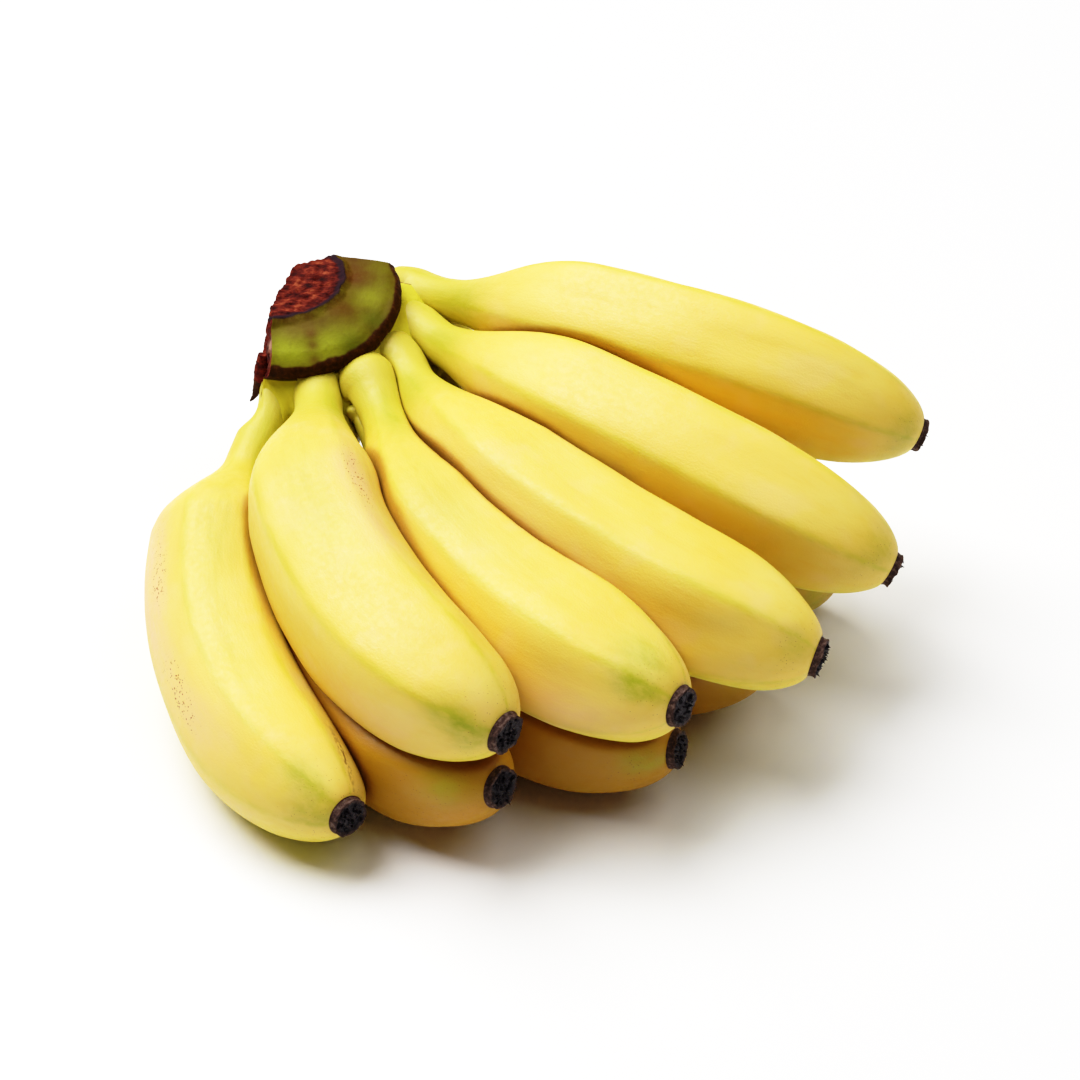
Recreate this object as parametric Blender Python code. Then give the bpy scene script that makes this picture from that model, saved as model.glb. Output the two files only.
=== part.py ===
"""A small hand of baby bananas, as cut from its bunch.

The hand lies on a surface with the hollow of its curve down and rests on its lower
fingers. +X is to the right, +Y away from the viewer and +Z up. The values below are
millimetres and degrees. A heading is the compass turn from the viewer (-Y) towards
the right (+X), and a pitch is the rise above the level.
"""
import math
from collections import namedtuple

import bmesh
import bpy
import numpy as np
from mathutils import Vector

MM = 0.001

# Fingers. Root is the point where the neck leaves the crown, out and tip are the
# (heading, pitch) of the finger there and at its blossom end, shoulder holds the
# shares of the length between which the neck widens into the body, and tuck is how the
# root is shifted in under the crown's rim.
Finger = namedtuple("Finger", "root out tip length radius shoulder tuck")
UPPER_ROW = [
    Finger((-58, 0, 32.8), (-12, -18), (43, 3), 116.5, 14.4, (0.15, 0.32), (1.6, 1.2, -0.9)),
    Finger((-46, -6, 39), (2, -4), (49, -3), 109.5, 15.2, (0.02, 0.36), (0, 4.8, -3.6)),
    Finger((-34.5, -7.5, 40), (19, -10), (54, 3), 109.5, 15.2, (0.06, 0.40), (0, 4.8, -3.6)),
    Finger((-29, 2, 40), (27, -2), (70, -10), 118, 15.0, (0.04, 0.41), (0, 4, -3)),
    Finger((-25, 14.5, 40.5), (39, 9), (76, -24), 120, 13.8, (0.05, 0.43), (0, 2, -1.5)),
    Finger((-26, 28.5, 41.5), (49, 16), (84, -23), 119, 13.6, (0.09, 0.41), (0, 1.6, -1.2)),
]
LOWER_ROW = [
    Finger((-42.5, -3, 28.6), (-5, -17), (51, 11), 114, 14.9, (0.09, 0.45), (0, 0, 0)),
    Finger((-33, -5.5, 32.3), (10, -20), (66, 7), 110.5, 14.5, (0.09, 0.45), (0, 0, 0)),
    Finger((-25, 0.5, 29.5), (18, -17), (85, 6), 104, 12.8, (0.10, 0.50), (0, 0, 0)),
    Finger((-17.5, 12.5, 31), (36, -20), (94, 0), 97, 12.7, (0.10, 0.45), (0, 0, 0)),
    Finger((-19.5, 26, 31), (50, -33), (98, 20), 78, 12.6, (0.10, 0.42), (0, 0, 0)),
]
TUCK_REACH = 0.30        # share of the length where the tuck has faded out
BODY_START = 0.05        # share where a finger's solid starts and the crown's neck ends
NECK_RADIUS = 4.6
SCAR_SHARE = 0.31        # radius at the blossom end, as a share of the full radius
DOME_START = 0.62        # share of the length where the body starts to round off
DOME_POWER = 2.8
BEND_START = (0.05, 0.35)   # the neck is straight and the bend sets in here
BEND_EASE = (0.80, 1.00)    # and eases off to half here
CORNER_SHARPNESS = 5.0   # exponent of the rounded five-sided section
CORNERS = 5
SECTION_POINTS = 20
STATIONS = 18
STATION_BUNCH = 1.35     # stations lie closer together towards the blossom end
SETTLE = 0.6             # the lowest skins lie flat at this height
ORIGIN = (0.9, -37.0, SETTLE)   # bottom middle of the whole hand becomes the origin
SAMPLES = 60             # samples along a centreline where fingers press together
PRESS_GAP = 0.9          # clear gap between two fingers pressed together
DEEPEST_PRESS = 0.4      # a pressed side keeps at least this share of its radius
HALVINGS = 14            # steps of the search for where two skins meet
FACET_FADE = 0.85        # the five facets fade out from this share of the length on

# Blossom ends: the dark dried stub of the flower on each finger.
STUB_LENGTH = 2.6
STUB_WALL = 1.4
STUB_HOLLOW = 0.9
STUB_POINTS = 10
STUB_SHARE = 0.95        # its radius, as a share of the radius at the finger's end
STUB_WAIST = 0.94        # and halfway along it
STUB_RAGGED = (0.05, 0.04)  # how far its edge swings in and out, in two and in three waves

# Crown: a cushion turned about a leaning axis, higher towards the front left, with the
# round end of the bunch's stalk on it, both trimmed with knife cuts.
CROWN_CENTRE = (-50.2, 18.3, 44.5)
CROWN_LEAN = 6           # of its axis to the left
CROWN_TIP = 13           # and towards the viewer
CROWN_PROFILE = [  # radius, height along the axis: underside, foot, rim, rind, top
    (9.0, -22.0), (15.0, -20.5), (18.0, -16.0), (19.0, -8.0), (19.4, -0.4),
    (20.8, 0.1), (21.0, 1.6), (20.2, 3.2), (18.0, 4.9), (15.0, 6.1), (11.0, 7.2),
    (6.0, 7.8), (2.0, 7.9),
]
RIM_TOP = 3.2            # heights above this one are scaled round the axis
CROWN_RISE = (0.60, 0.42, -20)  # mean scale, its swing, and the heading of the highest side
RISE_RADIUS = 10.0       # the swing fades out inside this radius
CROWN_POINTS = 36
STALK_CENTRE = (-54.5, 19.5, 50.6)
STALK_NORMAL = (-0.082, -0.069, 0.994)
STALK_PROFILE = [(12.0, -8.0), (14.8, -1.4), (13.3, 0.0)]  # radius, height
STALK_POINTS = 32
KNIFE_CUTS = [  # point on the cut, outward normal
    ((-57.4, 3.6, 41.8), (-0.91, -0.26, 0.32)),
    ((-55.5, 15.6, 46.8), (-0.97, 0.243, 0.0)),
    ((-48.3, 27.0, 50.8), (-0.44, 0.87, 0.24)),
    ((-38.0, 26.6, 51.6), (0.19, 0.93, 0.36)),
]
NECK_CORE = (8.0, -11.0)  # radius and height in the crown where each neck starts
NECK_FLARE = 1.7         # radius there, as a share of the neck's radius
NECK_LEAD = 6.0
NECK_SHARES = (0.0, 0.25, 0.5, 0.75)
NECK_FLARE_POWER = 1.5
OUTER_RINGS = 4          # rings of a neck outside its root
GAP = 0.3                # between pieces that meet
CUT_MERGE = 1e-6         # points closer to a knife cut than this, in metres, join it

SKIN_SHARP = 50          # edges sharper than these angles are shaded as edges
STUB_SHARP = 45
CROWN_SHARP = 35

SKIN = ("banana_skin", (0.90, 0.72, 0.14), 0.45)
RIND = ("crown_rind", (0.34, 0.33, 0.08), 0.65)
STUB = ("blossom_end", (0.06, 0.035, 0.03), 0.85)


def clear_scene():
    for old in list(bpy.data.objects):
        bpy.data.objects.remove(old, do_unlink=True)


def material(name, colour, roughness):
    made = bpy.data.materials.new(name)
    made.use_nodes = True
    shader = made.node_tree.nodes["Principled BSDF"]
    shader.inputs["Base Color"].default_value = (*colour, 1.0)
    shader.inputs["Roughness"].default_value = roughness
    return made


def direction(heading, pitch):
    turn, rise = math.radians(heading), math.radians(pitch)
    level = math.cos(rise)
    return np.array([math.sin(turn) * level, -math.cos(turn) * level, math.sin(rise)])


def ease(start, stop, share):
    step = np.clip((share - start) / (stop - start), 0, 1)
    return step * step * (3 - 2 * step)


def bend_share(share):
    """How much of a finger's bend is done at each share of its length."""
    fine = np.linspace(0, 1, SAMPLES)
    rate = ease(*BEND_START, fine) * (1 - 0.5 * ease(*BEND_EASE, fine))
    done = np.concatenate([[0], np.cumsum((rate[1:] + rate[:-1]) / 2)])
    return np.interp(share, fine, done / done[-1])


def centreline(finger, shares):
    """Points and directions of a finger's middle, which bends in one plane."""
    start, end = direction(*finger.out), direction(*finger.tip)
    angle = math.acos(float(start @ end))
    fine = np.linspace(0, 1, SAMPLES)
    turned = bend_share(fine)[:, None] * angle
    ways = (np.sin(angle - turned) * start + np.sin(turned) * end) / math.sin(angle)
    steps = (ways[1:] + ways[:-1]) / 2 * finger.length / (SAMPLES - 1)
    line = np.array(finger.root) + np.vstack([np.zeros(3), np.cumsum(steps, axis=0)])
    line = line + (1 - ease(0, TUCK_REACH, fine))[:, None] * np.array(finger.tuck)
    ways = np.gradient(line, axis=0)
    points = np.stack([np.interp(shares, fine, line[:, k]) for k in range(3)], axis=1)
    ways = np.stack([np.interp(shares, fine, ways[:, k]) for k in range(3)], axis=1)
    side = np.cross(start, end)
    return points, ways, side / np.linalg.norm(side)


def ring_axes(way, side):
    """Unit directions of a ring square to the way: towards the outer back, and across."""
    way = way / np.linalg.norm(way)
    across = side - (side @ way) * way
    across = across / np.linalg.norm(across)
    return np.cross(way, across), across


def girth(finger, share):
    """Radius of a finger: slim neck, shoulder, full body and rounded end."""
    body = NECK_RADIUS + (finger.radius - NECK_RADIUS) * ease(*finger.shoulder, share)
    over = np.clip((share - DOME_START) / (1 - DOME_START), 0, 1)
    return body * (SCAR_SHARE + (1 - SCAR_SHARE) * np.sqrt(1 - over ** DOME_POWER))


def section(angles):
    """Rounded five-sided outline with a flat on the back, at most 1 from its middle."""
    faces = np.arange(CORNERS) * 2 * math.pi / CORNERS
    reach = np.clip(np.cos(angles[:, None] - faces), 0, None) ** CORNER_SHARPNESS
    outline = reach.sum(axis=1) ** (-1 / CORNER_SHARPNESS)
    return outline / outline.max()


def pressed(points, middle, own_radius, others):
    """Points of one ring drawn in where the finger is pressed by its neighbours."""
    low = np.full(len(points), DEEPEST_PRESS)
    high = np.ones(len(points))
    for _ in range(HALVINGS):
        share = (low + high) / 2
        tried = middle + (points - middle) * share[:, None]
        own = np.linalg.norm(tried - middle, axis=1) - own_radius
        clear = np.full(len(points), np.inf)
        for line, radii in others:
            away = np.linalg.norm(tried[:, None] - line[None], axis=2) - radii[None]
            clear = np.minimum(clear, away.min(axis=1))
        fits = clear - own >= PRESS_GAP
        low = np.where(fits, share, low)
        high = np.where(fits, high, share)
    return middle + (points - middle) * low[:, None]


def placed(point):
    return (Vector(point) - Vector(ORIGIN)) * MM


def loft(name, rings):
    """Closed body through rings of points, with flat ends, in metres."""
    shape = bmesh.new()
    loops = [[shape.verts.new(placed(point)) for point in ring] for ring in rings]
    count = len(loops[0])
    for near, far in zip(loops, loops[1:]):
        for k in range(count):
            nxt = (k + 1) % count
            shape.faces.new((near[k], near[nxt], far[nxt], far[k]))
    shape.faces.new(reversed(loops[0]))
    shape.faces.new(loops[-1])
    return finished(name, shape)


def finished(name, shape):
    bmesh.ops.recalc_face_normals(shape, faces=shape.faces)
    mesh = bpy.data.meshes.new(name)
    shape.to_mesh(mesh)
    shape.free()
    made = bpy.data.objects.new(name, mesh)
    bpy.context.scene.collection.objects.link(made)
    return made


def smooth(part, look, sharp_angle):
    part.data.shade_smooth()
    part.data.set_sharp_from_angle(angle=math.radians(sharp_angle))
    part.data.materials.append(look)
    return part


def neck_path(finger, shares):
    """Middle, direction and radius of a neck inside the crown, from its core outwards."""
    axis = crown_axes()[2]
    centre = np.array(CROWN_CENTRE)
    end = centreline(finger, np.array([0.0]))[0][0]
    away = end - centre
    level = away - (away @ axis) * axis
    reach, height = NECK_CORE
    core = centre + reach * level / np.linalg.norm(level) + height * axis
    lead = end - direction(*finger.out) * NECK_LEAD
    near, far = (1 - shares)[:, None], shares[:, None]
    middles = near ** 2 * core + 2 * near * far * lead + far ** 2 * end
    ways = near * (lead - core) + far * (end - lead)
    ways = ways / np.linalg.norm(ways, axis=1)[:, None]
    return middles, ways, NECK_RADIUS * (1 + (NECK_FLARE - 1) * (1 - shares) ** NECK_FLARE_POWER)


def crown_neck(finger):
    """Middle, direction and radius of a neck from the crown's core to its finger."""
    middles, ways, radii = neck_path(finger, np.array(NECK_SHARES))
    outer = np.linspace(0, BODY_START - GAP / finger.length, OUTER_RINGS)
    points, directions, _ = centreline(finger, outer)
    directions = directions / np.linalg.norm(directions, axis=1)[:, None]
    return (np.vstack([middles, points]), np.vstack([ways, directions]),
            np.concatenate([radii, girth(finger, outer)]))


def whole_line(finger):
    """Middle points and radii of a finger with its neck inside the crown."""
    fine = np.linspace(0, 1, SAMPLES)
    neck, _, neck_radii = neck_path(finger, fine[::4])
    return (np.vstack([neck, centreline(finger, fine)[0]]),
            np.concatenate([neck_radii, girth(finger, fine)]))


def finger_rings(finger, neighbours):
    shares = 1 - (1 - BODY_START) * (1 - np.linspace(0, 1, STATIONS)) ** STATION_BUNCH
    middles, ways, side = centreline(finger, shares)
    angles = np.arange(SECTION_POINTS) * 2 * math.pi / SECTION_POINTS
    facets = ease(*finger.shoulder, shares) * (1 - ease(FACET_FADE, 1.0, shares))
    others = [whole_line(other) for other in neighbours]
    rings = []
    for middle, way, radius, facet in zip(middles, ways, girth(finger, shares), facets):
        back, across = ring_axes(way, side)
        reach = radius * (1 - facet + facet * section(angles))
        ring = middle + reach[:, None] * (np.cos(angles)[:, None] * back
                                          + np.sin(angles)[:, None] * across)
        ring = pressed(ring, middle, radius, others)
        ring[:, 2] = np.maximum(ring[:, 2], SETTLE)
        rings.append(ring)
    return rings


def blossom_end(name, finger, look):
    middles, ways, side = centreline(finger, np.array([1.0]))
    middle, way = middles[0], ways[0] / np.linalg.norm(ways[0])
    back, across = ring_axes(way, side)
    radius = girth(finger, 1.0) * STUB_SHARE
    angles = np.arange(STUB_POINTS) * 2 * math.pi / STUB_POINTS
    ragged = (1 + STUB_RAGGED[0] * np.sin(2 * angles + finger.length)
              + STUB_RAGGED[1] * np.sin(3 * angles))
    rings = []
    for reach, height in (
            (radius, GAP), (radius * STUB_WAIST, STUB_LENGTH / 2), (radius, STUB_LENGTH),
            (radius - STUB_WALL, STUB_LENGTH), (radius - STUB_WALL, STUB_LENGTH - STUB_HOLLOW)):
        outline = (reach * ragged)[:, None] * (np.cos(angles)[:, None] * back
                                               + np.sin(angles)[:, None] * across)
        rings.append(middle + way * height + outline)
    return smooth(loft(name, rings), look, STUB_SHARP)


def crown_axes():
    left, forward = math.sin(math.radians(CROWN_LEAN)), math.sin(math.radians(CROWN_TIP))
    axis = np.array([-left, -forward, math.sqrt(1 - left ** 2 - forward ** 2)])
    right = np.cross((0, 1, 0), axis)
    right = right / np.linalg.norm(right)
    return right, np.cross(right, axis), axis


def crown_cushion():
    right, front, axis = crown_axes()
    angles = np.arange(CROWN_POINTS) * 2 * math.pi / CROWN_POINTS
    around = np.cos(angles)[:, None] * right + np.sin(angles)[:, None] * front
    mean, swing, heading = CROWN_RISE
    side = np.cos(angles - math.radians(90 - heading))
    rings = []
    for radius, height in CROWN_PROFILE:
        above = max(height - RIM_TOP, 0)
        rise = mean + swing * side * min(radius / RISE_RADIUS, 1)
        heights = min(height, RIM_TOP) + above * rise
        rings.append(np.array(CROWN_CENTRE) + radius * around + heights[:, None] * axis)
    return trimmed(loft("crown", rings))


def stalk_end():
    up = Vector(STALK_NORMAL).normalized()
    right = Vector((0, 1, 0)).cross(up).normalized()
    back = up.cross(right)
    angles = np.arange(STALK_POINTS) * 2 * math.pi / STALK_POINTS
    around = np.cos(angles)[:, None] * np.array(right) + np.sin(angles)[:, None] * np.array(back)
    return trimmed(loft("stalk_end", [
        np.array(STALK_CENTRE) + height * np.array(up) + radius * around
        for radius, height in STALK_PROFILE]))


def trimmed(solid):
    shape = bmesh.new()
    shape.from_mesh(solid.data)
    for point, normal in KNIFE_CUTS:
        everything = shape.verts[:] + shape.edges[:] + shape.faces[:]
        cut = bmesh.ops.bisect_plane(
            shape, geom=everything, dist=CUT_MERGE, plane_co=placed(point),
            plane_no=Vector(normal).normalized(), clear_outer=True)
        rim = [item for item in cut["geom_cut"] if isinstance(item, bmesh.types.BMEdge)]
        bmesh.ops.contextual_create(shape, geom=rim)
    bmesh.ops.recalc_face_normals(shape, faces=shape.faces)
    shape.to_mesh(solid.data)
    shape.free()
    return solid


def neck_root(name, finger, neighbours):
    """Short flared neck from inside the crown that ends just before the finger starts."""
    side = centreline(finger, np.array([0.0]))[2]
    angles = np.arange(SECTION_POINTS) * 2 * math.pi / SECTION_POINTS
    others = [whole_line(other) for other in neighbours]
    rings = []
    for middle, way, radius in zip(*crown_neck(finger)):
        back, across = ring_axes(way, side)
        ring = middle + radius * (np.cos(angles)[:, None] * back
                                  + np.sin(angles)[:, None] * across)
        rings.append(pressed(ring, middle, radius, others) if rings else ring)
    return loft(name, rings)


def crown(fingers, look):
    body = crown_cushion()
    added = [stalk_end()]
    for number, finger in enumerate(fingers):
        neighbours = [other for other in fingers if other is not finger]
        added.append(neck_root("neck_root_%d" % number, finger, neighbours))
    joined = bpy.data.collections.new("joined_to_crown")
    bpy.context.scene.collection.children.link(joined)
    for solid in added:
        bpy.context.scene.collection.objects.unlink(solid)
        joined.objects.link(solid)
    fuse = body.modifiers.new("fuse", "BOOLEAN")
    fuse.operation = "UNION"
    fuse.operand_type = "COLLECTION"
    fuse.collection = joined
    fuse.solver = "EXACT"
    graph = bpy.context.evaluated_depsgraph_get()
    fused = bpy.data.meshes.new_from_object(body.evaluated_get(graph))
    body.modifiers.clear()
    body.data = fused
    for solid in added:
        bpy.data.objects.remove(solid, do_unlink=True)
    bpy.data.collections.remove(joined)
    return smooth(body, look, CROWN_SHARP)


def build():
    clear_scene()
    skin, rind, stub = material(*SKIN), material(*RIND), material(*STUB)
    fingers = UPPER_ROW + LOWER_ROW
    crown(fingers, rind)
    for row, members in (("upper", UPPER_ROW), ("lower", LOWER_ROW)):
        for number, finger in enumerate(members, 1):
            neighbours = [other for other in fingers if other is not finger]
            smooth(loft("finger_%s_%d" % (row, number), finger_rings(finger, neighbours)),
                   skin, SKIN_SHARP)
            blossom_end("blossom_end_%s_%d" % (row, number), finger, stub)


build()
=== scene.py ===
"""A hand of baby bananas on a white table: finished skins, crown and blossom ends.

Lengths in this file are millimetres and angles are degrees, measured as in the solids:
+X to the right, +Y away from the viewer, +Z up, with headings turned from the viewer
towards the right and pitches above the level.
"""
import math
from collections import namedtuple

import bpy
import numpy as np
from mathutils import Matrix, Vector, noise
from numpy.linalg import norm


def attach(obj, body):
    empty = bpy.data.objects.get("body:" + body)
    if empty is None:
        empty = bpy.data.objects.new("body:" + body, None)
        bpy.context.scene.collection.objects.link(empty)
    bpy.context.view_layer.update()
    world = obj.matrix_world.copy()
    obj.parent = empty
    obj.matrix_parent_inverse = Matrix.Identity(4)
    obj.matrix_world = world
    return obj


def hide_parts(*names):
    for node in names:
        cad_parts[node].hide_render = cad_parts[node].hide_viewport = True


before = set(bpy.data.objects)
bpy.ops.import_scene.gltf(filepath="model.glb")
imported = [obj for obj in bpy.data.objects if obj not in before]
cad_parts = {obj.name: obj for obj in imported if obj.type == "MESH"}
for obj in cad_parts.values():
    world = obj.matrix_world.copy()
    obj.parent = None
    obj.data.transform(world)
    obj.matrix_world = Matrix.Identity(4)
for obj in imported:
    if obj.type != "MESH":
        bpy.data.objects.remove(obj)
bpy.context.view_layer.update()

MM = 0.001
ORIGIN = np.array([0.9, -37.0, 0.6])

CORNER_SHARPNESS = 6.0   # how crisp the five ridges are where a finger gives nothing else

# Fingers: root, out, tip and tuck as in the solids. Roll turns the five ridges about the
# finger, squeeze crowds them to one side of it, and corner is how crisp they are.
Finger = namedtuple(
    "Finger", "root out tip length radius shoulder tuck roll squeeze corner",
    defaults=(0.0, CORNER_SHARPNESS))
UPPER_ROW = [
    Finger((-58, 0, 32.8), (-12, -18), (43, 3), 116.5, 14.4, (0.15, 0.32), (1.6, 1.2, -0.9), 111,
           0.42, 3.6),
    Finger((-46, -6, 39), (2, -4), (49, -3), 109.5, 15.2, (0.02, 0.36), (0, 4.8, -3.6), 2),
    Finger((-34.5, -7.5, 40), (19, -10), (54, 3), 109.5, 15.2, (0.06, 0.40), (0, 4.8, -3.6), 39),
    Finger((-29, 2, 40), (27, -2), (70, -10), 118, 15.0, (0.04, 0.41), (0, 4, -3), 13),
    Finger((-25, 14.5, 40.5), (39, 9), (76, -24), 120, 13.8, (0.05, 0.43), (0, 2, -1.5), 26),
    Finger((-26, 28.5, 41.5), (49, 16), (84, -23), 119, 13.6, (0.09, 0.41), (0, 1.6, -1.2), 9),
]
LOWER_ROW = [
    Finger((-42.5, -3, 28.6), (-5, -17), (51, 11), 114, 14.9, (0.09, 0.45), (0, 0, 0), 20),
    Finger((-33, -5.5, 32.3), (10, -20), (66, 7), 110.5, 14.5, (0.09, 0.45), (0, 0, 0), 34),
    Finger((-25, 0.5, 29.5), (18, -17), (85, 6), 104, 12.8, (0.10, 0.50), (0, 0, 0), 10),
    Finger((-17.5, 12.5, 31), (36, -20), (94, 0), 97, 12.7, (0.10, 0.45), (0, 0, 0), 50),
    Finger((-19.5, 26, 31), (50, -33), (98, 20), 78, 12.6, (0.10, 0.42), (0, 0, 0), 5),
]
TUCK_REACH = 0.30
PAINTED_SHADE_REACH = 4.0        # painted shade: skin closer than this to a neighbour is a deeper yellow
UPPER_PAINTED_SHADE = 0.10       # by this much in the upper row
CONTACT_SHADOW_REACH = 0.8       # and closer than this it is painted brown, as shadow where two fingers meet
CLOSE_START = (0.05, 0.25)   # shares of the length over which both set in
LOWER_PAINTED_SHADE = {          # painted shade on the skin of the lower row, deeper all over
    "lower_1": 1.0, "lower_2": 1.0, "lower_3": 1.0, "lower_4": 0.5, "lower_5": 0.15,
}
LOWER_SHADE_START = (0.30, 0.60)
PAINTED_LIGHT_RISE = (0.15, 0.85)    # painted light and shade: rise of the skin between its flanks, painted warm as in shade, and its top, painted lime as where the light falls
# Marks on a finger: kind, share of its length, turn about it, reach along it as a share,
# reach around it in degrees, strength.
MARKS = {
    "upper_1": [("green", 0.955, 84, 0.040, 15, 0.75), ("green", 0.985, 45, 0.035, 28, 0.6),
                ("green", 0.38, 112, 0.18, 24, 0.40), ("green", 0.70, 105, 0.12, 18, 0.25),
                ("green", 0.10, 150, 0.08, 40, 0.5),
                # The first finger's blush here is partly real peach blush and partly painted sheen on
                # its lit left flank.
                ("blush_and_sheen", 0.45, 44, 0.22, 24, 1.0), ("blush_and_sheen", 0.75, 58, 0.10, 22, 0.6),
                ("freckle", 0.45, 57, 0.06, 12, 1.0), ("freckle", 0.64, 52, 0.06, 11, 1.0),
                ("freckle", 0.70, 48, 0.05, 11, 1.0), ("freckle", 0.36, 52, 0.05, 12, 0.6),
                ("bruise", 0.945, 147, 0.05, 4.0, 1.0)],
    "upper_2": [("green", 0.955, 34, 0.040, 17, 0.75), ("green", 0.985, 10, 0.025, 30, 0.5),
                ("blush_and_sheen", 0.40, 116, 0.10, 16, 1.0), ("blush_and_sheen", 0.58, 112, 0.08, 12, 0.7),
                ("freckle", 0.42, 116, 0.12, 12, 0.9), ("green", 0.10, 130, 0.07, 26, 0.6),
                ("green", 0.42, 75, 0.20, 28, 0.30), ("blush_and_sheen", 0.80, 350, 0.10, 24, 0.5)],
    "upper_3": [("green", 0.955, 66, 0.040, 16, 0.9), ("green", 0.94, 105, 0.05, 20, 0.6),
                ("green", 0.12, 110, 0.08, 24, 0.6), ("blush_and_sheen", 0.85, 20, 0.10, 24, 0.6),
                ("green", 0.40, 95, 0.20, 26, 0.25)],
    "upper_4": [("green", 0.970, 40, 0.025, 24, 0.35), ("green", 0.10, 40, 0.06, 30, 0.5),
                ("green", 0.14, 120, 0.06, 24, 0.5), ("blush_and_sheen", 0.5, 20, 0.2, 20, 0.4)],
    "upper_5": [("green", 0.965, 20, 0.030, 45, 0.35), ("green", 0.10, 10, 0.06, 40, 0.5)],
    "upper_6": [("green", 0.970, 330, 0.028, 55, 0.4), ("green", 0.15, 345, 0.07, 40, 0.6)],
    "lower_1": [("green", 0.955, 44, 0.035, 22, 0.45), ("freckle", 0.9, 20, 0.1, 50, 0.5)],
    "lower_2": [("green", 0.975, 38, 0.035, 20, 0.55), ("freckle", 0.95, 20, 0.05, 60, 0.5)],
    "lower_3": [("green", 0.95, 60, 0.03, 40, 0.5)],
    "lower_4": [("green", 0.95, 20, 0.03, 40, 0.5)],
    "lower_5": [("green", 0.95, 100, 0.03, 40, 0.5)],
}
NECK_RADIUS = 4.6
SCAR_SHARE = 0.265
DOME_START = 0.62
DOME_POWER = 3.2
DOME_FALL = 0.72
BEND_START = (0.05, 0.35)
BEND_EASE = (0.80, 1.00)
CORNERS = 5
FACET_FADE = 0.85
SAMPLES = 240
STATIONS = 230
AROUND = 112
RIDGE_HEIGHT = 0.04      # times the corner's crispness
UNEVENNESS = 0.5
NEIGHBOUR_STATIONS = (46, 8)
NEIGHBOUR_REACH = 2.2    # radii within which another finger can press on this one
PRESS_GAP = 0.12
DEEPEST_PRESS = 0.35
PRESS_BLUR = 3
PRESS_SLACK = 0.01
HALVINGS = 9
ROOT_FLARE = 0.26
FLARE_REACH = 0.07
NECK_CUT_FADE = (0.01, 0.09)   # shares of the length where the crown's cuts stop
NECK_CUT_INSET = 1.4

CROWN_CENTRE = np.array([-50.2, 18.3, 44.5])
CROWN_LEAN = 6
CROWN_TIP = 13
NECK_CORE = (8.0, -11.0)
NECK_LEAD = 6.0
NECK_STATIONS = 26

# Camera: elevation, distance from the point that it looks at, and that point.
CAMERA_PITCH = 37
CAMERA_AWAY = 576
CAMERA_TARGET = (-0.9, 37.0, -3.9)
CAMERA_LENS = 88.13


# Placing and small maths

def placed(points):
    """Solid's millimetres to metres about the hand's origin."""
    return (np.asarray(points) - ORIGIN) * MM


def direction(heading, pitch):
    turn, rise = math.radians(heading), math.radians(pitch)
    level = math.cos(rise)
    return np.array([math.sin(turn) * level, -math.cos(turn) * level, math.sin(rise)])


def ease(start, stop, share):
    step = np.clip((share - start) / (stop - start), 0, 1)
    return step * step * (3 - 2 * step)


def unit(vectors):
    return vectors / norm(vectors, axis=-1, keepdims=True)


def blurred(grid, passes):
    """Soft copy of a stations by around grid of numbers."""
    for _ in range(passes):
        padded = np.vstack([grid[:1], grid, grid[-1:]])
        grid = (padded[:-2] + 2 * padded[1:-1] + padded[2:]) / 4
        grid = (np.roll(grid, 1, axis=1) + 2 * grid + np.roll(grid, -1, axis=1)) / 4
    return grid


def smoothed_row(values, passes=6):
    for _ in range(passes):
        inner = (values[:-2] + 2 * values[1:-1] + values[2:]) / 4
        values = np.concatenate([values[:1], inner, values[-1:]])
    return values


def past_cut(points, cut):
    """How far each point lies outside a flat cut, and the cut's outward direction."""
    place, normal = np.array(cut[0]), unit(np.array(cut[1]))
    return (points - place) @ normal, normal


def cut_back(points, cut, inset=0.0, share=1.0):
    """Points brought back to a flat cut, or to its inset, by the given share."""
    over, normal = past_cut(points, cut)
    return points - (np.maximum(over + inset, 0) * share)[:, None] * normal


# Finger paths

def bend_share(share):
    fine = np.linspace(0, 1, SAMPLES)
    rate = ease(*BEND_START, fine) * (1 - 0.5 * ease(*BEND_EASE, fine))
    done = np.concatenate([[0], np.cumsum((rate[1:] + rate[:-1]) / 2)])
    return np.interp(share, fine, done / done[-1])


def centreline(finger, shares):
    start, end = direction(*finger.out), direction(*finger.tip)
    angle = math.acos(float(start @ end))
    fine = np.linspace(0, 1, SAMPLES)
    turned = bend_share(fine)[:, None] * angle
    ways = (np.sin(angle - turned) * start + np.sin(turned) * end) / math.sin(angle)
    steps = (ways[1:] + ways[:-1]) / 2 * finger.length / (SAMPLES - 1)
    line = np.array(finger.root) + np.vstack([np.zeros(3), np.cumsum(steps, axis=0)])
    line = line + (1 - ease(0, TUCK_REACH, fine))[:, None] * np.array(finger.tuck)
    ways = np.gradient(line, axis=0)
    points = np.stack([np.interp(shares, fine, line[:, k]) for k in range(3)], axis=1)
    ways = np.stack([np.interp(shares, fine, ways[:, k]) for k in range(3)], axis=1)
    return points, unit(ways)


def across(finger, ways):
    """Direction square to each way that lies across the finger's bend."""
    side = unit(np.cross(direction(*finger.out), direction(*finger.tip)))
    return unit(side - (ways @ side)[:, None] * ways)


def girth(finger, share):
    body = NECK_RADIUS + (finger.radius - NECK_RADIUS) * ease(*finger.shoulder, share)
    over = np.clip((share - DOME_START) / (1 - DOME_START), 0, 1)
    dome = SCAR_SHARE + (1 - SCAR_SHARE) * (1 - over ** DOME_POWER) ** DOME_FALL
    flare = np.clip(1 - share / FLARE_REACH, 0, 1.6) ** 1.5
    return body * dome * (1 + ROOT_FLARE * flare)


def crown_axes():
    left, forward = math.sin(math.radians(CROWN_LEAN)), math.sin(math.radians(CROWN_TIP))
    axis = np.array([-left, -forward, math.sqrt(1 - left ** 2 - forward ** 2)])
    right = unit(np.cross((0, 1, 0), axis))
    return right, np.cross(right, axis), axis


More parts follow.
